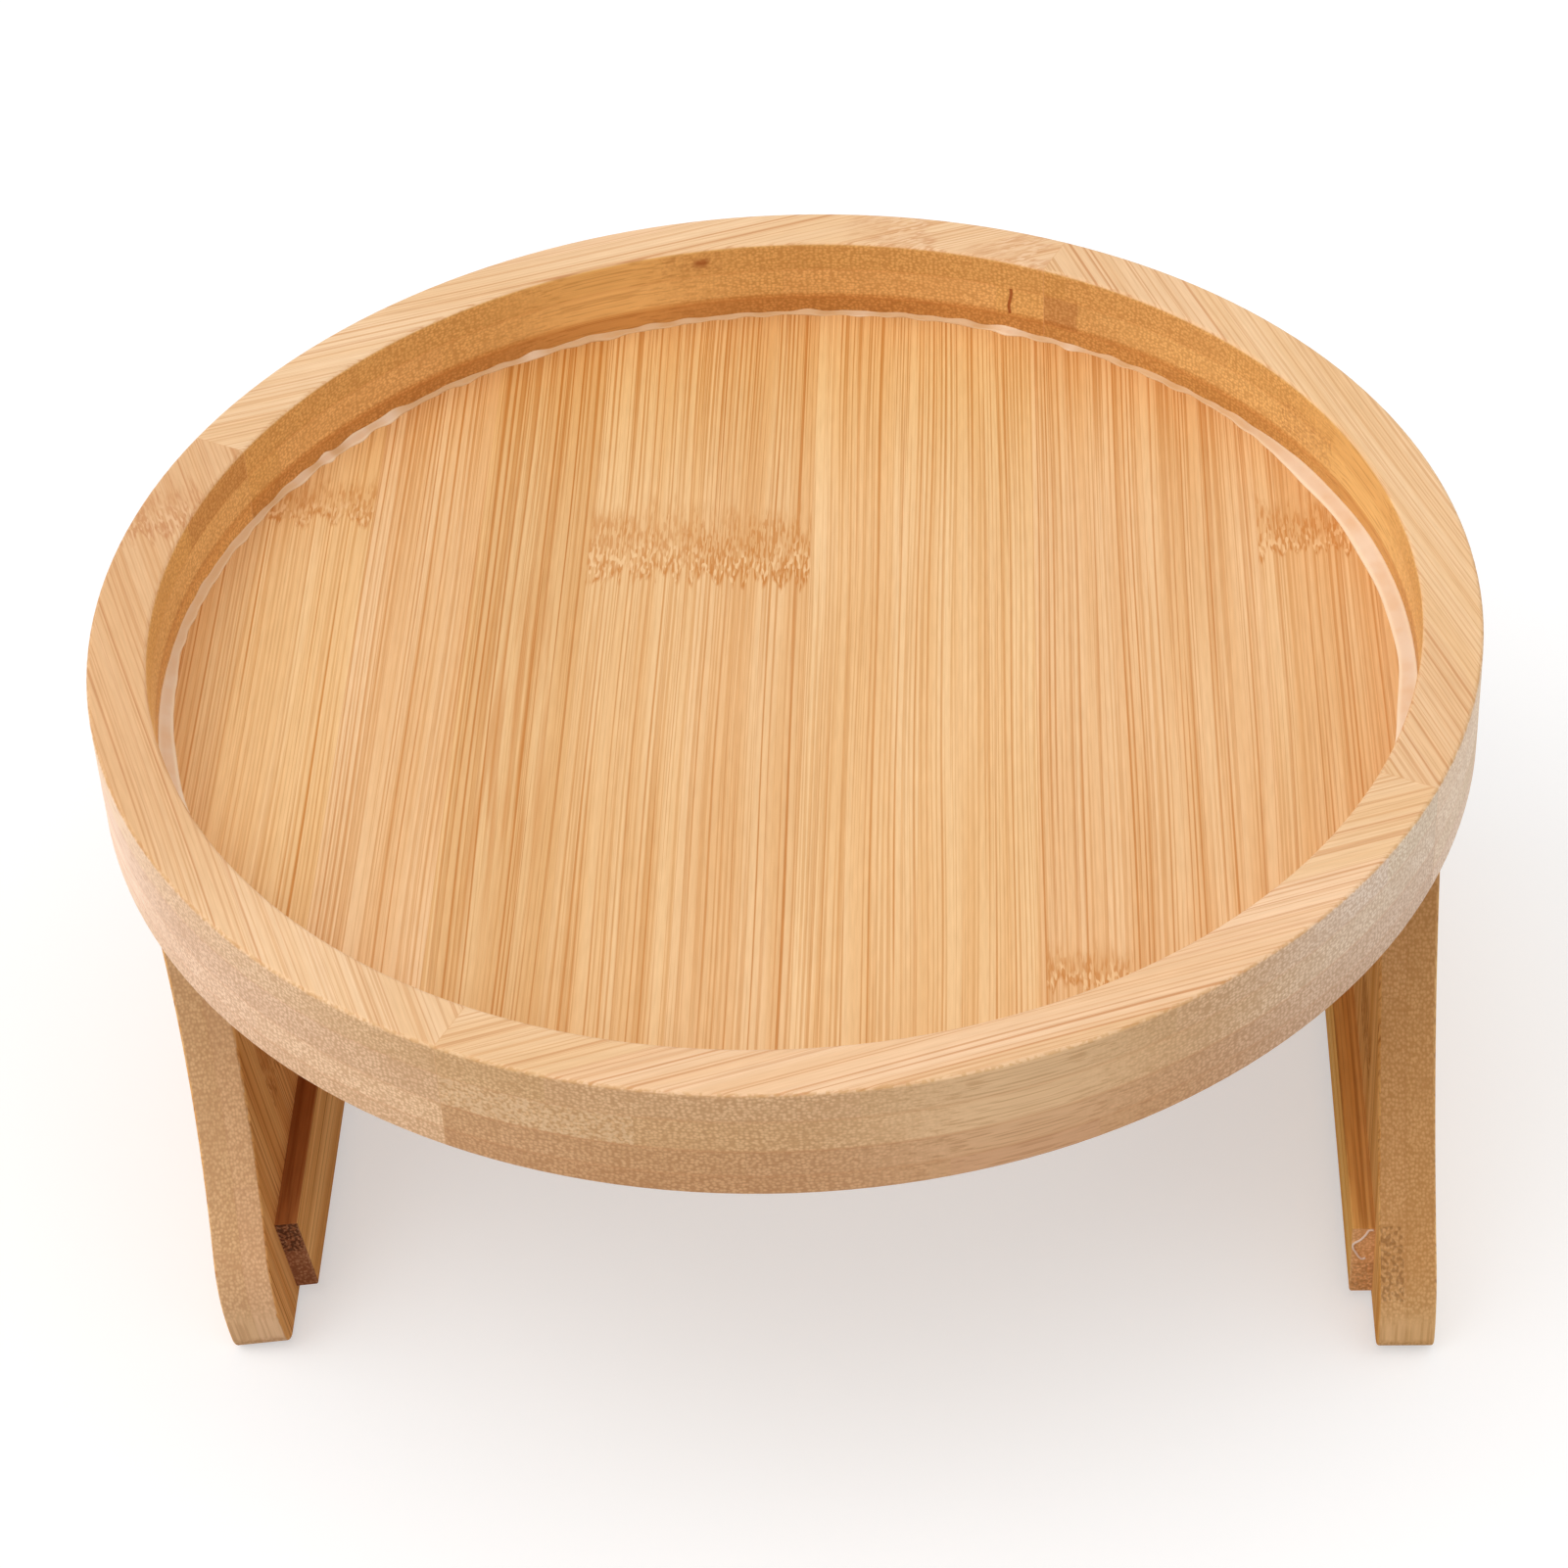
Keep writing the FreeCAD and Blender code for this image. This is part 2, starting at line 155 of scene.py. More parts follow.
def new_finish(name, roughness, specular):
    """A new material with its node tree and its shader."""
    material = bpy.data.materials.new(name)
    material.use_nodes = True
    shader = material.node_tree.nodes["Principled BSDF"]
    shader.inputs["Roughness"].default_value = roughness
    shader.inputs["Specular IOR Level"].default_value = specular
    return material, material.node_tree, shader


def coat(tree, shader, colour, relief, strength, depth):
    """Gives the shader its colour and a fine relief of this depth."""
    bump = add(tree, "Bump", {"Height": relief, "Strength": strength, "Distance": depth})
    tree.links.new(bump, shader.inputs["Normal"])
    tree.links.new(colour, shader.inputs["Base Color"])


ragged_size = (8, 1.4, 1.4)
ragged_reach = 0.3025
dash_size = (4.0, 0.4, 0.4)
blob_size = (2.0, 0.55, 0.55)
node_side_edge = 0.25
node_floor_edge = 0.3
ground_strength = 0.5
stroke_strength = 0.85
blob_strength = 0.85
arc_strength = 0.8
tail_strength = 0.45


def cane_nodes(tree, colour, spot, weave, marks):
    """Nodes of the cane: bands of short dark and bright dashes that end in a ragged lip."""
    ragged = swing(tree, cloud(tree, spot.fibre, ragged_size), ragged_reach)
    dashes = cloud(tree, spot.fibre, dash_size, 1.0)
    bright = ease(tree, cloud(tree, spot.fibre, blob_size), 0.52, 0.6)
    for mark in marks:
        reach = {"Value": spot.along, "From Min": mark.start, "From Max": mark.stop}
        run = sums(tree, "ADD", add(tree, "MapRange", reach, clamp=False), ragged)
        inside = product(tree, between(tree, spot.across, mark.low, mark.high, node_side_edge),
                         ease(tree, spot.deep, mark.floor - node_floor_edge, mark.floor + node_floor_edge))
        band = product(tree, inside, ease(tree, run, 0.0, 0.6), ease(tree, run, 1.0, 0.95))
        lip = product(tree, inside, between(tree, run, 0.9, 1.02, 0.05))
        tail = product(tree, inside, ease(tree, run, 3.0, 1.0), ease(tree, run, 0.96, 1.0))
        strokes = ease(tree, dashes, 0.48, 0.55, stroke_strength * mark.strength)
        blobs = product(tree, bright, ease(tree, run, 0.45, 0.85, blob_strength))
        arcs = ease(tree, dashes, 0.44, 0.52, arc_strength * mark.strength)
        threads = ease(tree, spot.fine, 0.47, 0.55, tail_strength * mark.strength)
        layers = [(product(tree, band, ground_strength * mark.strength), weave.line),
                  (product(tree, band, strokes), weave.deep),
                  (product(tree, band, blobs), weave.pale),
                  (product(tree, lip, arcs), weave.deep),
                  (product(tree, tail, threads), weave.line)]
        for share, tone in layers:
            colour = mix(tree, share, colour, tone)
    return colour


# A strip that is darker than its neighbours is redder too.
tone_powers = (0.6, 1.0, 1.5)


def strip_tone(tree, strip_at, tones):
    """Each strip of the board in turn, from the left edge, in the tone that it was picked for."""
    node = tree.nodes.new("ShaderNodeValToRGB")
    ramp = node.color_ramp
    ramp.interpolation = "CONSTANT"
    for index, tone in enumerate(tones):
        stop = ramp.elements[0] if index == 0 else ramp.elements.new(index / len(tones))
        stop.color = (*[tone ** power for power in tone_powers], 1)
    ramp.elements.remove(ramp.elements[-1])
    half = len(tones) / 2
    ramp_at = add(tree, "MapRange", {"Value": strip_at, "From Min": -half, "From Max": half})
    tree.links.new(ramp_at, node.inputs[0])
    return node.outputs["Color"]


wood_roughness = 0.5
roughness_play = 0.24
ridge_strength = 0.3
ridge_depth = 0.1 * MM
ply_shift = 0.37
strip_jumps = (900, 90, 70)
wander_size = (110, 16, 16)
wander_reach = 1.0
broad_size = (190, 4.5, 4.5)
fine_length = 170
sway_size = (300, 3.5, 3.5)
sway_reach = 2.4
bundle_size = (0.75, 0.58, 0.58)
bundle_disorder = 0.72
ridge_size = (150, 0.6, 0.6)
blotch_size = (60, 24, 24)
blotch_tints = [(0.95, 0.92, 0.86, 1), (1.05, 1.08, 1.14, 1)]
strip_tints = [(0.97, 0.96, 0.94, 1), (1.03, 1.04, 1.06, 1)]
hue_tints = [(0.995, 1.005, 0.965, 1), (1.005, 0.995, 1.03, 1)]
fleck_size = (7, 0.5, 0.5)
fleck_tints = [(0.9, 0.88, 0.85, 1), (1.1, 1.12, 1.15, 1)]
seam_strength = 0.3
joint_half = 0.5
joint_core = 0.1


def bamboo(name, grain, weave, seed, strip_start=0.0, tones=(), plies=(), edged=False, marks=(), extras=None,
           gloss=0.2):
    """Laminated bamboo. Fibres run along the grain, strips lie side by side across it, plies are stacked."""
    material, tree, shader = new_finish(name, wood_roughness, gloss)
    through = grain.along.cross(grain.across)
    axes = Matrix((grain.along, grain.across, through)).transposed()
    source = tree.nodes.new("ShaderNodeTexCoord").outputs["Object"]
    laid = {"Vector": source, "Location": grain.origin, "Rotation": axes.to_euler(), "Scale": (MM, MM, MM)}
    place = add(tree, "Mapping", laid, vector_type="TEXTURE")
    along, across, deep = split(tree, place)

    ply = 0.0
    for layer in plies:
        ply = sums(tree, "ADD", sums(tree, "LESS_THAN", deep, layer.joint), ply)
    strip_at = sums(tree, "MULTIPLY_ADD", across, 1 / strip_width, -strip_start)
    strip_at = sums(tree, "MULTIPLY_ADD", ply, ply_shift, strip_at)
    strip_key = add(tree, "CombineXYZ", {0: sums(tree, "FLOOR", strip_at), 1: ply, 2: seed})
    luck = split(tree, add(tree, "TexWhiteNoise", {"Vector": strip_key}, 1, noise_dimensions="3D"))
    wander = swing(tree, cloud(tree, place, wander_size), wander_reach)
    fibre_along = sums(tree, "MULTIPLY_ADD", luck[0], strip_jumps[0], along)
    fibre_across = sums(tree, "ADD", sums(tree, "MULTIPLY_ADD", luck[1], strip_jumps[1], across), wander)
    fibre_deep = sums(tree, "MULTIPLY_ADD", luck[2], strip_jumps[2], deep)
    fibre = add(tree, "CombineXYZ", {0: fibre_along, 1: fibre_across, 2: fibre_deep})

    broad = cloud(tree, fibre, broad_size, 1.0)
    fine = cloud(tree, fibre, (fine_length, weave.streak, weave.streak), 1.0)
    sway = product(tree, cloud(tree, fibre, sway_size), sway_reach)
    veins_at = sums(tree, "MULTIPLY_ADD", fibre_across, 1 / weave.pitch, sway)
    chance = add(tree, "TexWhiteNoise", {"W": sums(tree, "FLOOR", veins_at)}, 0, noise_dimensions="1D")
    from_vein = distance(tree, sums(tree, "FRACT", veins_at), 0.5)
    veins = product(tree, chance, ease(tree, from_vein, 0.26, 0.1), ease(tree, fine, 0.36, 0.54, 0.8),
                    sums(tree, "MULTIPLY_ADD", luck[0], 0.6, 0.65))
    face = mix(tree, ease(tree, broad, 0.36, 0.64), weave.pale, weave.warm)
    face = mix(tree, ease(tree, fine, weave.share, weave.share + 0.09, 0.55), face, weave.line)
    face = mix(tree, veins, face, weave.deep)

    cells = {"Vector": stretched(tree, fibre, bundle_size), "Scale": 1.0, "Randomness": bundle_disorder}
    bundles = add(tree, "TexVoronoi", cells)
    speckle = mix(tree, ease(tree, bundles, 0.2, 0.72), weave.end_pale, weave.end_dark)
    speckle = mix(tree, ease(tree, broad, 0.4, 0.7, 0.3), speckle, weave.end_dark)
    cut_across = ease(tree, sums(tree, "ABSOLUTE", faces(tree, grain.along)), 0.03, 0.3)
    flat = ease(tree, sums(tree, "ABSOLUTE", faces(tree, through)), 0.3, 0.7)
    if edged:
        sawn_lines = ease(tree, fine, weave.share - 0.04, weave.share + 0.1, 0.7)
        sides = mix(tree, sawn_lines, weave.end_pale, weave.end_dark)
        colour = mix(tree, flat, mix(tree, cut_across, sides, speckle), face)
    else:
        colour = mix(tree, cut_across, face, speckle)

    colour = glaze(tree, 1.0, colour, mix(tree, cloud(tree, place, blotch_size), *blotch_tints))
    if tones:
        picked = strip_tone(tree, strip_at, tones)
    else:
        picked = mix(tree, luck[2], *strip_tints)
    colour = glaze(tree, 1.0, colour, picked)
    colour = glaze(tree, 1.0, colour, mix(tree, luck[1], *hue_tints))
    colour = glaze(tree, 1.0, colour, mix(tree, cloud(tree, fibre, fleck_size, 1.0), *fleck_tints))

    seam = distance(tree, sums(tree, "FRACT", strip_at), 0.5)
    glue_lines = product(tree, flat, ease(tree, seam, 0.494, 0.498, seam_strength))
    for layer in plies:
        below = sums(tree, "LESS_THAN", deep, layer.joint)
        colour = glaze(tree, below, colour, layer.tint)
        joint_line = ease(tree, distance(tree, deep, layer.joint), joint_half, joint_core, layer.line)
        glue_lines = sums(tree, "MAXIMUM", glue_lines, joint_line)
    colour = mix(tree, glue_lines, colour, weave.deep)

    spot = Spot(place, along, across, deep, flat, fibre, fine)
    if marks:
        colour = cane_nodes(tree, colour, spot, weave, marks)
    if extras:
        colour = extras(tree, colour, spot)
    coat(tree, shader, colour, cloud(tree, place, ridge_size), ridge_strength, ridge_depth)
    dullness = sums(tree, "MULTIPLY_ADD", fine, roughness_play, wood_roughness - roughness_play / 2)
    tree.links.new(dullness, shader.inputs["Roughness"])
    return material


def dress(node, material):
    """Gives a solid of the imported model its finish."""
    for slot in frame["nodes"][node].material_slots:
        slot.material = material


board_weave = Weave(pale=shade(244, 201, 149), warm=shade(238, 189, 133), line=shade(216, 157, 95),
                    deep=shade(202, 130, 60), end_pale=shade(226, 180, 118), end_dark=shade(196, 142, 88),
                    streak=0.45, share=0.51, pitch=1.0)
board_tones = [0.9, 0.89, 1.06, 0.985, 0.87, 0.95, 0.92, 0.99, 1.0, 0.94, 0.94, 0.93, 0.92, 0.9]
board_grain = Grain(Vector((0, -1, 0)), Vector((1, 0, 0)), Vector((0, 0, board_top)))
board_marks = [
    CaneNode(low=-38.5, high=-17.5, start=-55, stop=-30, floor=-1, strength=0.7),
    CaneNode(low=-17.5, high=3.5, start=-52, stop=-28, floor=-1, strength=0.95),
    CaneNode(low=87.5, high=108.5, start=-52, stop=-34, floor=-1, strength=0.85),
    CaneNode(low=-101.5, high=-80.5, start=-64, stop=-48, floor=-1, strength=0.7),
    CaneNode(low=46.5, high=61, start=72, stop=83, floor=-1, strength=0.75),
]
far_third = (-30, -105)
# A warm, darker glaze for the far third: partly painted shade and bounce light from the back of the rim, partly
# the board's own warmer tone.
far_shade_tone = shade(252, 245, 222)
far_shade_share = 0.8
far_streak_tone = shade(198, 128, 54)
stain_across = (-56, -42, 3)
stain_along = (-20, 60, 20)
stain_size = (60, 1.6, 1.6)


def board_shade_and_stain(tree, colour, spot):
    """The far third is glazed darker and more golden, partly painted shade and bounce light from the back of the
    rim, partly the board's own warmer tone, and its dark streaks are stronger. One strip is stained.
    """
    far = ease(tree, spot.along, *far_third)
    streaks = product(tree, far, ease(tree, spot.fine, 0.5, 0.6, 0.5))
    colour = mix(tree, streaks, colour, far_streak_tone)
    stain = product(tree, between(tree, spot.across, *stain_across), between(tree, spot.along, *stain_along),
                    ease(tree, cloud(tree, spot.place, stain_size, 1.0), 0.44, 0.62, 0.5))
    colour = mix(tree, stain, colour, board_weave.deep)
    # Painted shade and warm bounce light from the back of the rim, partly the board's own tone, glazed over the
    # far third.
    return glaze(tree, product(tree, far, far_shade_share), colour, far_shade_tone)


dress("tray_board", bamboo("board bamboo", board_grain, board_weave, board_seed, board_strip_start,
                           board_tones, marks=board_marks, extras=board_shade_and_stain))

# Rim segments.
# Four arcs sawn from four-ply bamboo board and butted end to end into a ring round the tray.
# The fibres of each run straight along its own chord, so the grain meets at an angle at the seams.
rim_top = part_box("rim_segment_front")[1].z
rim_seed = 11
quarter = math.radians(90)
first_middle = math.radians(20)
upper_joint, middle_joint, lower_joint = -6.2, -12.9, -18.5
dark_plies = [Ply(upper_joint, (1.0, 0.98, 0.97, 1), 0.25), Ply(middle_joint, (0.9, 0.84, 0.8, 1), 0.35),
              Ply(lower_joint, (0.98, 0.94, 0.97, 1), 0.25)]
pale_plies = [Ply(upper_joint, (0.99, 0.99, 1.0, 1), 0.2), Ply(middle_joint, (1.08, 1.1, 1.11, 1), 0.2),
              Ply(lower_joint, (0.94, 0.91, 0.9, 1), 0.25)]
even_plies = [Ply(upper_joint, (0.99, 0.99, 1.0, 1), 0.2), Ply(middle_joint, (0.96, 0.94, 0.93, 1), 0.25),
              Ply(lower_joint, (1.0, 0.99, 0.99, 1), 0.25)]
Segment = namedtuple("Segment", "name plies strip_start tint")
segments = [
    Segment("rim_segment_right", even_plies, 0.0, (0.95, 0.93, 0.88, 1)),
    Segment("rim_segment_back", dark_plies, 0.2, (0.97, 0.97, 0.97, 1)),
    Segment("rim_segment_left", pale_plies, 0.4, (0.89, 0.81, 0.73, 1)),
    Segment("rim_segment_front", dark_plies, 0.19, (0.98, 0.975, 0.95, 1)),
]
rim_weave = Weave(pale=shade(245, 205, 163), warm=shade(241, 198, 153), line=shade(222, 168, 118),
                  deep=shade(210, 148, 98), end_pale=shade(237, 195, 147), end_dark=shade(208, 161, 113),
                  streak=0.45, share=0.55, pitch=1.2)
rim_marks = {
    "rim_segment_left": [CaneNode(low=-112, high=-91, start=-80, stop=-62, floor=-0.6, strength=0.65)],
    "rim_segment_back": [CaneNode(low=-112, high=-94, start=-46, stop=-64, floor=-0.6, strength=0.5),
                         CaneNode(low=-94, high=-80, start=-62, stop=-84, floor=-0.6, strength=0.5)],
}
WallMark = namedtuple("WallMark", "along deep half_along half_deep strength mottled soft",
                      defaults=[False, 0.12])
wall_mark_tone = shade(158, 80, 32)
wall_marks = {
    "rim_segment_right": [
        WallMark(along=78, deep=-9.5, half_along=2.7, half_deep=3.3, strength=0.33),
        WallMark(along=22, deep=-8.0, half_along=8, half_deep=3.4, strength=0.25, mottled=True),
    ],
    "rim_segment_back": [
        WallMark(along=-75.5, deep=-9.3, half_along=0.22, half_deep=3.0, strength=0.9),
        WallMark(along=-19.7, deep=-3.1, half_along=1.5, half_deep=0.8, strength=0.75, soft=0.8),
        WallMark(along=-18, deep=-3.2, half_along=6, half_deep=2.4, strength=0.2, mottled=True),
    ],
    "rim_segment_left": [
        WallMark(along=-72, deep=-3.0, half_along=9.5, half_deep=3.2, strength=0.24),
    ],
}
pale_patch_tone = shade(244, 208, 164)
pale_patches = {
    "rim_segment_front": WallMark(along=-75, deep=-9.5, half_along=13.5, half_deep=3.3, strength=0.5,
                                  mottled=True),
}
mark_waver_size = (3, 3, 3)
mark_waver_reach = 0.45
mottle_size = (0.8, 0.8, 0.6)
# Painted sheen: the white surroundings, reflected at a grazing angle, pale parts of the outer walls.
Fade = namedtuple("Fade", "start stop far_stop far_start tone")
wall_sheens = {
    "rim_segment_front": Fade(start=20, stop=85, far_stop=140, far_start=130, tone=(1.17, 1.52, 2.28, 1)),
    "rim_segment_left": Fade(start=115, stop=10, far_stop=-88, far_start=-25, tone=(1.24, 1.35, 1.75, 1)),
    "rim_segment_right": Fade(start=-10, stop=-70, far_stop=-140, far_start=-130,
                              tone=(1.26, 1.58, 2.28, 1)),
}
tint_fades = {"rim_segment_left": (62, 0)}
inside_radii = (118, 116)
outside_radii = (122, 124)
inside_tint = (1.07, 1.03, 0.71, 1)
inside_upper_ply = (-6.3, -6.0)
inside_upper_tint = (0.92, 0.87, 0.82, 1)
inside_lower_ply = (-11.6, -12.2)
inside_lower_tint = (0.86, 0.74, 0.62, 1)
rubbed_radii = (124.3, 124.8)
rubbed_depths = (-0.7, -0.4)
rubbed_size = (0.8, 0.8, 0.8)
rubbed_strength = 0.45
rubbed_tone = shade(206, 152, 88)
seam_weight = math.sqrt(0.5)
seam_width = (0.16, 0.05)
seam_darkness = 0.4


def patch_at(tree, spot, mark):
    """Where this bit of odd-coloured cane shows on a wall, with a slightly wavy end."""
    waver = swing(tree, cloud(tree, spot.place, mark_waver_size), mark_waver_reach)
    sideways = sums(tree, "ADD", sums(tree, "SUBTRACT", spot.along, mark.along), waver)
    low, high = mark.deep - mark.half_deep, mark.deep + mark.half_deep
    patch = product(tree, mark.strength,
                    between(tree, sideways, -mark.half_along, mark.half_along, mark.soft),
                    between(tree, spot.deep, low, high, mark.soft))
    if mark.mottled:
        patch = product(tree, patch, ease(tree, cloud(tree, spot.place, mottle_size), 0.42, 0.6))
    return patch


def rim_details(name, tint):
    def finish(tree, colour, spot):
        """Golden inside wall with darker bits of cane, a painted sheen on parts of the outside wall, and thin
        seams.
        """
        flat_place = add(tree, "CombineXYZ", {0: spot.along, 1: spot.across})
        radius = add(tree, "VectorMath", {0: flat_place}, "Value", operation="LENGTH")
        wall = sums(tree, "SUBTRACT", 1.0, spot.flat)
        inside = product(tree, wall, ease(tree, radius, *inside_radii))
        outside = product(tree, wall, ease(tree, radius, *outside_radii))
        colour = glaze(tree, inside, colour, inside_tint)
        uppermost = product(tree, inside, ease(tree, spot.deep, *inside_upper_ply))
        colour = glaze(tree, uppermost, colour, inside_upper_tint)
        lowest = product(tree, inside, ease(tree, spot.deep, *inside_lower_ply))
        colour = glaze(tree, lowest, colour, inside_lower_tint)
        tinted = spot.flat
        if name in tint_fades:
            tinted = product(tree, tinted, ease(tree, spot.along, *tint_fades[name]))
        colour = glaze(tree, tinted, colour, tint)
        if name in wall_sheens:
            # Painted sheen of the white surroundings on the outer wall.
            sheen = wall_sheens[name]
            sheen_share = product(tree, outside, ease(tree, spot.along, sheen.start, sheen.stop),
                               ease(tree, spot.along, sheen.far_stop, sheen.far_start))
            colour = glaze(tree, sheen_share, colour, sheen.tone)
        if name in pale_patches:
            patch = product(tree, outside, patch_at(tree, spot, pale_patches[name]))
            colour = mix(tree, patch, colour, pale_patch_tone)
        for mark in wall_marks.get(name, ()):
            patch = product(tree, inside, patch_at(tree, spot, mark))
            colour = mix(tree, patch, colour, wall_mark_tone)
        rubbed = product(tree, ease(tree, radius, *rubbed_radii), ease(tree, spot.deep, *rubbed_depths),
                         ease(tree, cloud(tree, spot.place, rubbed_size), 0.42, 0.58, rubbed_strength))
        colour = mix(tree, rubbed, colour, rubbed_tone)
        run_out = sums(tree, "ADD", spot.across, sums(tree, "ABSOLUTE", spot.along))
        seam = ease(tree, product(tree, run_out, -seam_weight), *seam_width, seam_darkness)
        return mix(tree, seam, colour, rim_weave.line)
    return finish


for index, segment in enumerate(segments):
    middle = first_middle + index * quarter
    outward = Vector((math.cos(middle), math.sin(middle), 0))
    rim_grain = Grain(Vector((-outward.y, outward.x, 0)), -outward, Vector((0, 0, rim_top)))
    dress(segment.name, bamboo(f"rim bamboo {index}", rim_grain, rim_weave, rim_seed + index,
                               segment.strip_start, plies=segment.plies, edged=True,
                               marks=rim_marks.get(segment.name, ()),
                               extras=rim_details(segment.name, segment.tint)))

# Glue bead.
# Clear wood glue squeezed out of the joint when the board was pressed into the rim.
# It dried as a milky, lumpy fillet of uneven width in the corner, and was never cleaned off.
bead_low, bead_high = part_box("glue_bead")
bead_radius = bead_high.x
bead_steps = 900
bead_profile = [(1.0, -0.03), (0.98, 0.12), (0.9, 0.27), (0.76, 0.4), (0.58, 0.52), (0.38, 0.66),
                (0.18, 0.84), (0.06, 0.97), (-0.02, 1.0), (-0.02, -0.03)]
# Painted highlight across the profile: 1 along both edges of the bead, where light glints on the glue, 0 in the
# middle.
bead_highlights = [1.0, 1.0, 0.8, 0.3, 0.0, 0.1, 0.5, 1.0, 1.0, 1.0]
bead_width = 3.2
bead_width_lost = 2.3
least_width = 0.55
bead_height = 1.3
bead_height_lost = 0.65
least_height = 0.4
long_ripple = 0.6
long_ripple_lost = 0.2
short_ripple = 0.5
height_ripple = 0.4
dollop_height = 0.6
# The thin stretch along the back, in degrees round the tray from its right side: it starts at once
# on the right and stops in two stages on the left.
ThinEnd = namedtuple("ThinEnd", "share thick_at thin_at")
right_end = ThinEnd(1.0, 28, 48)
left_ends = [ThinEnd(0.72, 192, 168), ThinEnd(0.28, 158, 146)]
random.seed(41)
Wave = namedtuple("Wave", "count width_start height_start")
Dollop = namedtuple("Dollop", "degrees half_degrees extra")
dollops = [Dollop(135.5, 1.6, 0.9), Dollop(139.5, 1.5, 1.5), Dollop(143.6, 0.8, 1.3), Dollop(147.5, 1.8, 0.7),
           Dollop(118, 1.4, 0.5), Dollop(69, 1.6, 0.9), Dollop(62, 1.0, 0.6), Dollop(84, 1.2, 0.5)]


def new_waves(counts):
    """Waves with these counts round the tray, each with its own starts."""
    return [Wave(count, random.uniform(0, math.tau), random.uniform(0, math.tau)) for count in counts]


long_waves = new_waves((3, 7, 12, 19, 31))
short_waves = new_waves((47, 67, 89, 113))


def swell(waves, angle, start):
    """Between about -1 and 1, the same every run: how far the bead swells or thins here."""
    return sum(math.sin(wave.count * angle + getattr(wave, start)) for wave in waves) / len(waves)


def slope(value, low, high):
    """Runs smoothly from 0 at low to 1 at high."""
    share = min(1.0, max(0.0, (value - low) / (high - low)))
    return share * share * (3 - 2 * share)


def thinned(degrees, end):
    """How much of the thinning this end of the thin stretch gives here."""
    return end.share * slope(degrees, end.thick_at, end.thin_at)


def dollop_at(degrees):
    """Extra glue, in millimetres, where drops of it gathered."""
    turns = [(degrees - drop.degrees) / drop.half_degrees for drop in dollops]
    return sum(drop.extra * math.exp(-turn * turn) for drop, turn in zip(dollops, turns))


bead_points = []
bead_faces = []
bead_thinness = []
profile_count = len(bead_profile)
for step in range(bead_steps):
    angle = math.tau * step / bead_steps
    degrees = math.degrees(angle)
    dollop = dollop_at(degrees)
    behind = thinned(degrees, right_end) * sum(thinned(degrees, end) for end in left_ends)
    bead_thinness.append(behind * max(0.0, 1 - dollop))
    ripple = (long_ripple - long_ripple_lost * behind) * swell(long_waves, angle, "width_start")
    ripple += short_ripple * behind * swell(short_waves, angle, "width_start")
    width = MM * max(least_width, bead_width - bead_width_lost * behind + dollop + ripple)
    rise = height_ripple * swell(long_waves, angle, "height_start")
    rise += height_ripple * behind * swell(short_waves, angle, "height_start")
    fullness = bead_height - bead_height_lost * behind + dollop_height * dollop
    height = MM * max(least_height, fullness + rise)
    for across_share, up_share in bead_profile:
        radius = bead_radius - width * across_share
        up = bead_low.z + height * up_share
        bead_points.append((radius * math.cos(angle), radius * math.sin(angle), up))
    following = (step + 1) % bead_steps
    for row in range(profile_count):
        here = step * profile_count
        there = following * profile_count
        above = (row + 1) % profile_count
        bead_faces.append((here + row, here + above, there + above, there + row))
bead_mesh = bpy.data.meshes.new("squeezed_glue")
bead_mesh.from_pydata(bead_points, [], bead_faces)
bead_mesh.shade_smooth()
# The edge attribute carries the painted highlight of each profile point.
bead_mesh.attributes.new("edge", "FLOAT", "POINT")
bead_mesh.attributes.new("thin", "FLOAT", "POINT")
for index in range(len(bead_points)):
    bead_mesh.attributes["edge"].data[index].value = bead_highlights[index % profile_count]
    bead_mesh.attributes["thin"].data[index].value = bead_thinness[index // profile_count]
bead = bpy.data.objects.new("squeezed_glue", bead_mesh)
bpy.context.scene.collection.objects.link(bead)

glue_roughness = 0.35
glue_gloss = 0.4
milk_size = (16, 16, 16)
wisp_size = (7, 7, 7)
glue_lump_size = (3, 3, 3)
glue_lump_strength = 0.12
glue_lump_depth = 0.3 * MM
highlight_share = 0.75
wood_through = shade(213, 162, 98)
clear_share = 0.7


def place_in_mm(tree):
    """The place on a piece, in millimetres."""
    source = tree.nodes.new("ShaderNodeTexCoord").outputs["Object"]
    return stretched(tree, source, (MM, MM, MM))


def dried_glue(name, clear, cloudy, highlight_tone):
    """Milky glue with a painted highlight along both edges. Where it is thin, the colour of the wood comes
    through.
    """
    material, tree, shader = new_finish(name, glue_roughness, glue_gloss)
    spot = place_in_mm(tree)
    milk = ease(tree, cloud(tree, spot, milk_size, 1.0), 0.35, 0.65)
    wisps = ease(tree, cloud(tree, spot, wisp_size, 2.0), 0.38, 0.64)
    colour = mix(tree, sums(tree, "MULTIPLY_ADD", milk, 0.5, product(tree, wisps, 0.5)), clear, cloudy)
    # Painted highlight along both edges of the bead, from the edge attribute.
    edge = add(tree, "Attribute", {}, "Fac", attribute_name="edge")
    colour = mix(tree, ease(tree, edge, 0.2, 0.9, highlight_share), colour, highlight_tone)
    thin = add(tree, "Attribute", {}, "Fac", attribute_name="thin")
    colour = mix(tree, product(tree, thin, clear_share), colour, wood_through)
    coat(tree, shader, colour, cloud(tree, spot, glue_lump_size), glue_lump_strength, glue_lump_depth)
    return material


glue = dried_glue("dried glue", shade(236, 196, 155), shade(243, 217, 190), shade(250, 224, 190))
bead_mesh.materials.append(glue)
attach(bead, "tray_body")
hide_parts("glue_bead")

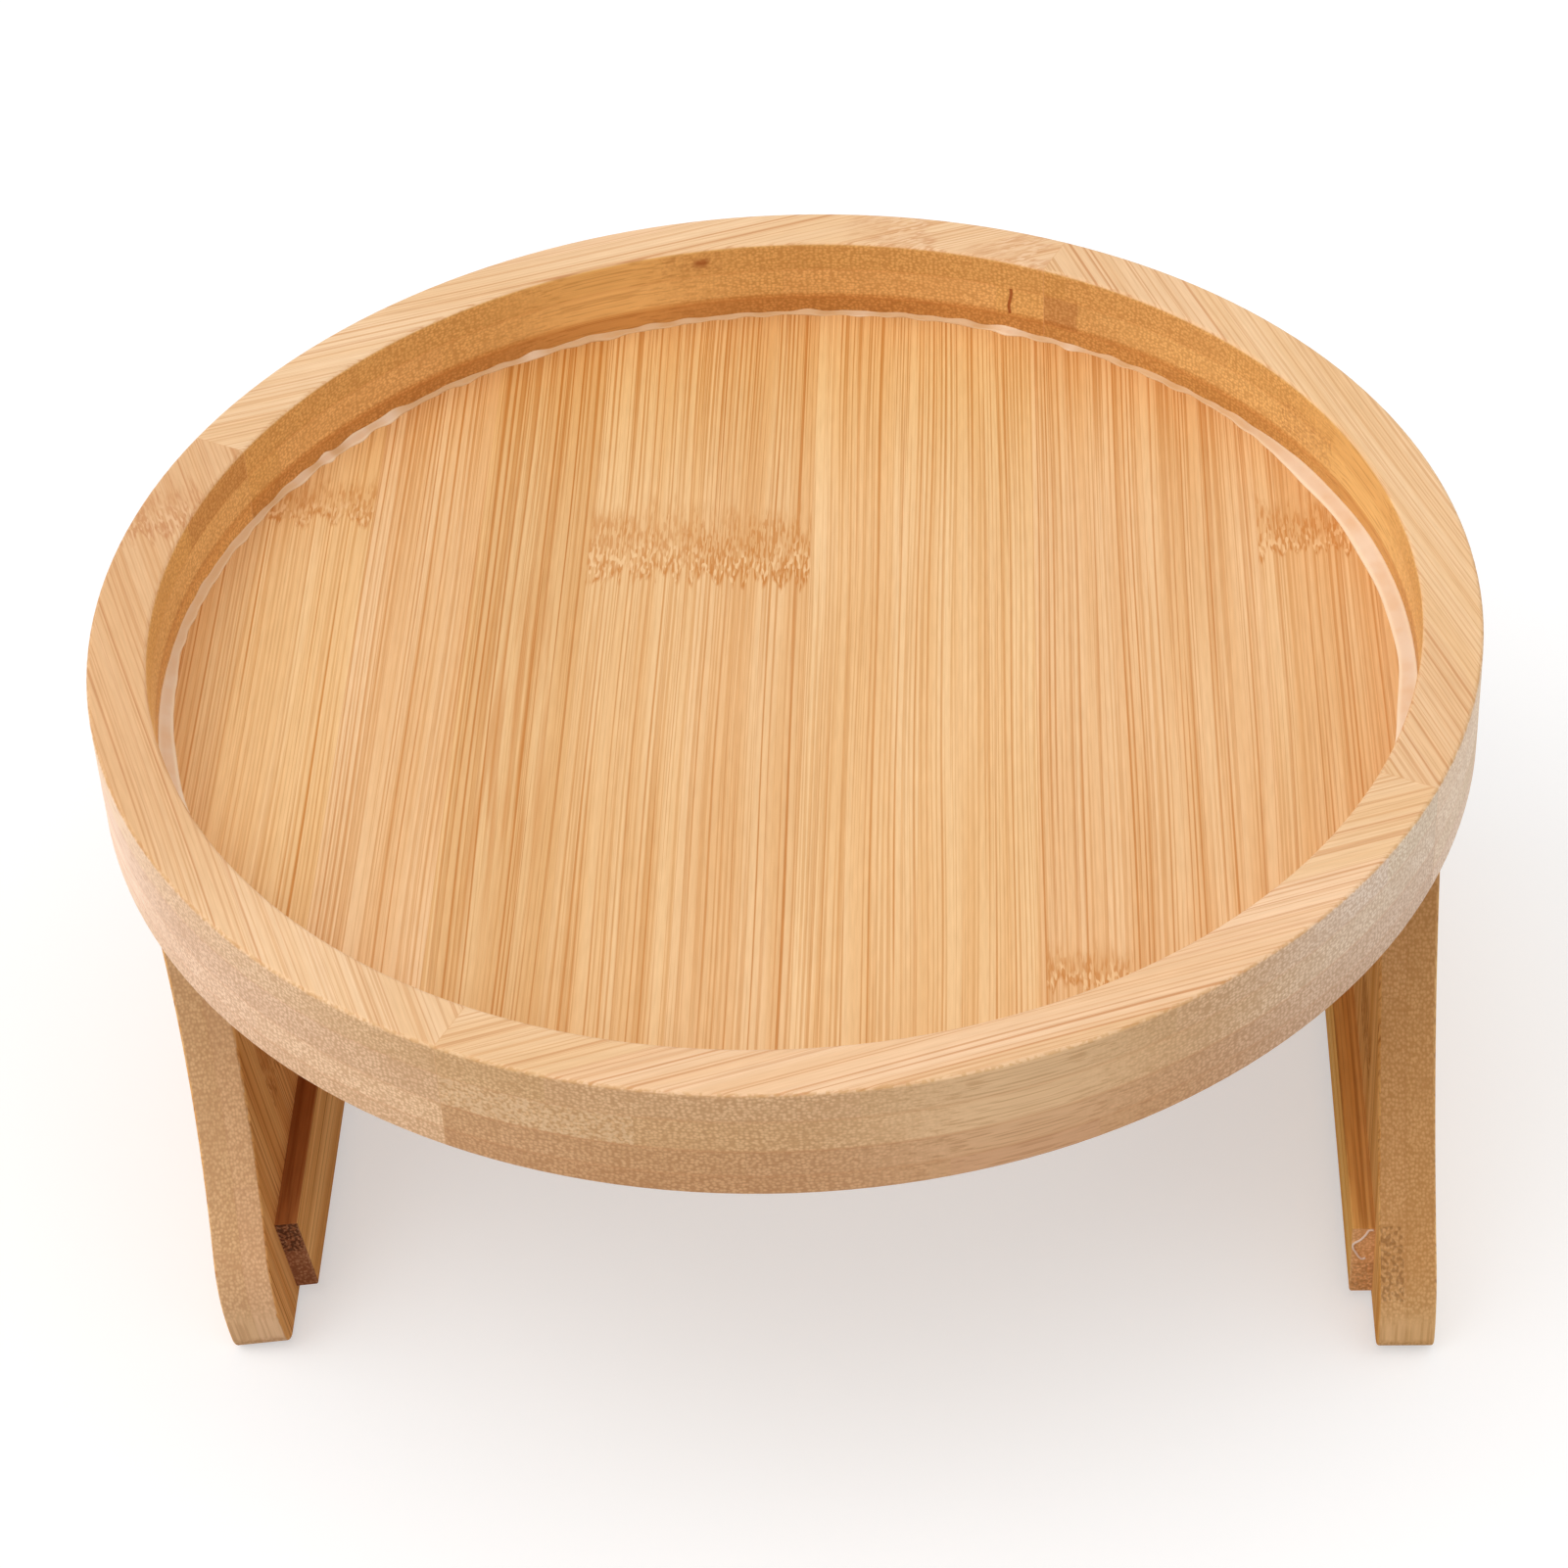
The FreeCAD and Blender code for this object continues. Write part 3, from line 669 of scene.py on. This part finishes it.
# Wings.
# Flared two-ply bamboo panels that hang from the tray on hinges and stand on their lower edge.
# The fibres run from the hinge down to the foot, so the curved sides show cut fibre ends.
mounts = {mount["name"]: mount for mount in frame["record"]["mounts"]}
wing_seed = 23
wing_strip_start = 0.3
wing_plies = [Ply(7.5, (1.03, 1.04, 1.05, 1), 0.08)]
wing_weaves = {
    "left": Weave(pale=shade(239, 180, 112), warm=shade(224, 158, 90), line=shade(203, 132, 70),
                  deep=shade(168, 100, 50), end_pale=shade(227, 183, 138), end_dark=shade(205, 157, 114),
                  streak=0.55, share=0.53, pitch=1.3),
    "right": Weave(pale=shade(234, 178, 108), warm=shade(218, 156, 86), line=shade(198, 134, 70),
                   deep=shade(156, 92, 42), end_pale=shade(214, 162, 108), end_dark=shade(194, 140, 86),
                   streak=0.55, share=0.53, pitch=1.3),
}
wing_marks = {
    "left": [CaneNode(low=20, high=40, start=44, stop=60, floor=2, strength=0.8)],
    "right": [CaneNode(low=-36, high=-14, start=44, stop=60, floor=2, strength=1.0)],
}
outer_ply = (7, 8)
outer_tint = (1.08, 1.2, 1.5, 1)
worn_foot = (68, 83)
worn_tint = (1.2, 1.33, 1.52, 1)
knot_tone = shade(120, 74, 38)
edge_knots = {
    "right": WallMark(along=71, deep=4.6, half_along=5.5, half_deep=2.4, strength=0.42, mottled=True),
}


def wing_details(side):
    def finish(tree, colour, spot):
        """The outer face is sanded paler. The right wing's edge has a knot above its worn foot."""
        outer = product(tree, spot.flat, ease(tree, spot.deep, *outer_ply))
        colour = glaze(tree, outer, colour, outer_tint)
        if side in edge_knots:
            edge = sums(tree, "SUBTRACT", 1.0, spot.flat)
            worn = product(tree, edge, ease(tree, spot.along, *worn_foot))
            colour = glaze(tree, worn, colour, worn_tint)
            knot = product(tree, edge, patch_at(tree, spot, edge_knots[side]))
            colour = mix(tree, knot, colour, knot_tone)
        return colour
    return finish


for side in ("left", "right"):
    down = Vector(mounts[f"{side}_foot"]["axis"])
    outward = -Vector(mounts[f"{side}_pad"]["axis"])
    hinge = next(joint for joint in frame["joints"] if joint["child"] == f"{side}_wing_body")
    wing_grain = Grain(down, outward.cross(down), Vector(hinge["pos_m"]))
    dress(f"{side}_wing", bamboo(f"{side} wing bamboo", wing_grain, wing_weaves[side], wing_seed,
                                 wing_strip_start, plies=wing_plies, edged=True, marks=wing_marks[side],
                                 extras=wing_details(side), gloss=0.0))

# Battens.
# A square bamboo strip glued along the foot of each wing's inner face, to grip the sofa arm.
# Its fibres run along its length. A string of glue was left stuck to the right one's front end.
batten_seed = 31
batten_strip_start = 0.4
batten_weaves = {
    "left": Weave(pale=shade(248, 194, 126), warm=shade(230, 170, 102), line=shade(207, 142, 78),
                  deep=shade(164, 104, 54), end_pale=shade(190, 136, 98), end_dark=shade(148, 94, 62),
                  streak=0.6, share=0.53, pitch=1.3),
    "right": Weave(pale=shade(254, 208, 128), warm=shade(244, 186, 102), line=shade(213, 147, 72),
                   deep=shade(169, 103, 45), end_pale=shade(249, 197, 141), end_dark=shade(220, 161, 105),
                   streak=0.6, share=0.5, pitch=1.3),
}
# Painted shade on the upward face: the left batten's lies in the shadow of the tray and is darkened; the right
# one's is nearly unchanged.
batten_top_shading = {"left": (0.55, 0.4, 0.36, 1), "right": (1.0, 1.01, 1.12, 1)}
Specks = namedtuple("Specks", "low high strength")
batten_end_specks = {"left": Specks(low=1.0, high=20, strength=0.7),
                     "right": Specks(low=-20, high=-0.8, strength=0.2)}
speck_size = (0.6, 0.6, 0.6)
speck_edge = 0.3
speck_tone = shade(64, 34, 20)


def batten_details(grain, tint, specks):
    def finish(tree, colour, spot):
        """The upward face gets painted shade, strong on the left batten in the tray's shadow. Part of each end is
        speckled.
        """
        # Painted shade on the upward face.
        shaded_top = ease(tree, faces(tree, grain.across), 0.4, 0.8)
        colour = glaze(tree, shaded_top, colour, tint)
        end = ease(tree, sums(tree, "ABSOLUTE", faces(tree, grain.along)), 0.6, 0.9, specks.strength)
        dots = ease(tree, cloud(tree, spot.place, speck_size), 0.46, 0.56)
        dots = product(tree, end, dots, between(tree, spot.across, specks.low, specks.high, speck_edge))
        return mix(tree, dots, colour, speck_tone)
    return finish


for side in ("left", "right"):
    down = Vector(mounts[f"{side}_foot"]["axis"])
    batten_grain = Grain(Vector((0, 1, 0)), -down, Vector(mounts[f"{side}_pad"]["pos_m"]))
    details = batten_details(batten_grain, batten_top_shading[side], batten_end_specks[side])
    dress(f"{side}_batten", bamboo(f"{side} batten bamboo", batten_grain, batten_weaves[side], batten_seed,
                                   batten_strip_start, extras=details, gloss=0.0))

thread_radius = 0.22 * MM
thread_stand_off = 0.4 * thread_radius
thread_path = [(3.8, -0.3), (3.0, -0.2), (2.7, -1.1), (2.25, -1.95), (1.6, -2.9), (0.5, -3.6), (0.2, -4.2),
               (0.35, -5.2), (0.9, -6.2), (1.5, -7.4), (2.1, -8.0), (2.65, -7.6)]
batten_low, batten_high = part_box("right_batten")
thread_line = bpy.data.curves.new("glue_thread_line", "CURVE")
thread_line.dimensions = "3D"
thread_line.bevel_depth = thread_radius
thread_line.bevel_resolution = 3
thread_line.resolution_u = 6
thread_line.use_fill_caps = True
thread_spline = thread_line.splines.new("NURBS")
thread_spline.points.add(len(thread_path) - 1)
for point, (inward, upward) in zip(thread_spline.points, thread_path):
    point.co = (batten_low.x + inward * MM, batten_low.y - thread_stand_off, batten_high.z + upward * MM, 1)
thread_spline.order_u = 3
thread_spline.use_endpoint_u = True
thread_form = bpy.data.objects.new("glue_thread_line", thread_line)
thread_mesh = bpy.data.meshes.new_from_object(thread_form)
bpy.data.objects.remove(thread_form)
thread_mesh.shade_smooth()
thread_mesh.materials.clear()
thread_glue = dried_glue("glue string", shade(236, 208, 186), shade(246, 226, 210), shade(246, 226, 210))
thread_mesh.materials.append(thread_glue)
thread = bpy.data.objects.new("glue_thread", thread_mesh)
bpy.context.scene.collection.objects.link(thread)
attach(thread, "right_wing_body")

# Hinges.
# Small butt hinges of zinc-plated steel sheet, two to a wing, with knuckles rolled round a wire pin.
# One leaf is screwed to the tray board and the other to the wing, with countersunk screws.
steel_gloss = 0.5
bloom_size = (6, 6, 6)
bloom_dulling = 0.16
bloom_shine = 0.06
scratch_size = (0.25, 9, 0.25)
scratch_darkness = 0.4
scratch_strength = 0.2
scratch_depth = 0.05 * MM


def plated_steel(name, light, dark, roughness):
    """Zinc plate with a cloudy bloom and fine scratches along the hinge."""
    material, tree, shader = new_finish(name, roughness, steel_gloss)
    shader.inputs["Metallic"].default_value = 1.0
    spot = place_in_mm(tree)
    bloom = ease(tree, cloud(tree, spot, bloom_size, 3.0), 0.35, 0.65)
    scratches = cloud(tree, spot, scratch_size, 2.0)
    colour = mix(tree, bloom, light, dark)
    colour = mix(tree, ease(tree, scratches, 0.6, 0.72, scratch_darkness), colour, dark)
    coat(tree, shader, colour, scratches, scratch_strength, scratch_depth)
    dullness = sums(tree, "MULTIPLY_ADD", bloom, bloom_dulling, roughness - bloom_shine)
    tree.links.new(dullness, shader.inputs["Roughness"])
    return material


hinge_steel = plated_steel("hinge steel", shade(204, 204, 198), shade(184, 183, 176), 0.36)
pin_steel = plated_steel("pin steel", shade(184, 183, 178), shade(162, 160, 154), 0.32)
screw_steel = plated_steel("screw steel", shade(202, 200, 192), shade(172, 169, 160), 0.38)
for side in ("left", "right"):
    for end in ("front", "back"):
        dress(f"{side}_{end}_tray_leaf", hinge_steel)
        dress(f"{side}_{end}_wing_leaf", hinge_steel)
        dress(f"{side}_{end}_hinge_pin", pin_steel)
for name in ("tray_hinge_screws", "left_wing_hinge_screws", "right_wing_hinge_screws"):
    dress(name, screw_steel)

# Floor and light.
# A plain white floor, lit by wide soft lamps overhead, on the left and on the right.
# It shows as white to the eye and keeps the shadow under the tray.
floor_half = 4.0
floor_grey = (0.6, 0.6, 0.6, 1)
floor_lift = 0.46
surround_level = 0.45
floor_mesh = bpy.data.meshes.new("floor")
floor_corners = [(-floor_half, -floor_half, 0), (floor_half, -floor_half, 0),
                 (floor_half, floor_half, 0), (-floor_half, floor_half, 0)]
floor_mesh.from_pydata(floor_corners, [], [(0, 1, 2, 3)])
floor = bpy.data.objects.new("floor", floor_mesh)
bpy.context.scene.collection.objects.link(floor)


def seen_rays(tree):
    """1 for rays that show a surface to the eye: straight on, in a mirror or through glass."""
    path = tree.nodes.new("ShaderNodeLightPath")
    seen = sums(tree, "MAXIMUM", path.outputs["Is Camera Ray"], path.outputs["Is Glossy Ray"])
    return sums(tree, "MAXIMUM", seen, path.outputs["Is Transmission Ray"])


floor_material = bpy.data.materials.new("white floor")
floor_material.use_nodes = True
tree = floor_material.node_tree
tree.nodes.clear()
paper = add(tree, "BsdfDiffuse", {"Color": floor_grey})
lift = add(tree, "Emission", {"Strength": product(tree, seen_rays(tree), floor_lift)})
output = tree.nodes.new("ShaderNodeOutputMaterial")
tree.links.new(add(tree, "AddShader", {0: paper, 1: lift}), output.inputs["Surface"])
floor_mesh.materials.append(floor_material)

world = bpy.data.worlds.new("white surroundings")
world.use_nodes = True
bpy.context.scene.world = world
tree = world.node_tree
backdrop = tree.nodes["Background"]
backdrop.inputs["Color"].default_value = (1, 1, 1, 1)
level = add(tree, "MapRange", {"Value": seen_rays(tree), "To Min": surround_level, "To Max": 1.0})
tree.links.new(level, backdrop.inputs["Strength"])

Lamp = namedtuple("Lamp", "name energy spread towards")
lamps = [
    Lamp("overhead_lamp", energy=0.95, spread=60, towards=(-0.1, -0.15, 1.0)),
    Lamp("left_lamp", energy=1.3, spread=80, towards=(-0.85, -0.25, 0.45)),
    Lamp("right_lamp", energy=0.6, spread=80, towards=(0.9, -0.1, 0.42)),
]
for lamp in lamps:
    lamp_data = bpy.data.lights.new(lamp.name, "SUN")
    lamp_data.energy = lamp.energy
    lamp_data.angle = math.radians(lamp.spread)
    lamp_object = bpy.data.objects.new(lamp.name, lamp_data)
    lamp_object.rotation_euler = Vector(lamp.towards).to_track_quat("Z", "Y").to_euler()
    bpy.context.scene.collection.objects.link(lamp_object)

# Camera.
# It looks down on the front of the tray at the angle of the photograph, a little from the right.
camera_place = Vector((0.0419, -0.6329, 0.6228))
camera_right = Vector((0.9986, 0.0309, -0.0432))
camera_up = Vector((0.0124, 0.6564, 0.7543))
camera_back = Vector((0.0517, -0.7537, 0.6551))
camera_turn = Matrix((camera_right, camera_up, camera_back)).transposed()
camera_data = bpy.data.cameras.new("camera")
camera_data.sensor_width = 36
camera_data.lens = 103.59
camera = bpy.data.objects.new("camera", camera_data)
camera.matrix_world = Matrix.LocRotScale(camera_place, camera_turn, None)
bpy.context.scene.collection.objects.link(camera)
bpy.context.scene.camera = camera
bpy.context.scene.view_settings.view_transform = "Standard"
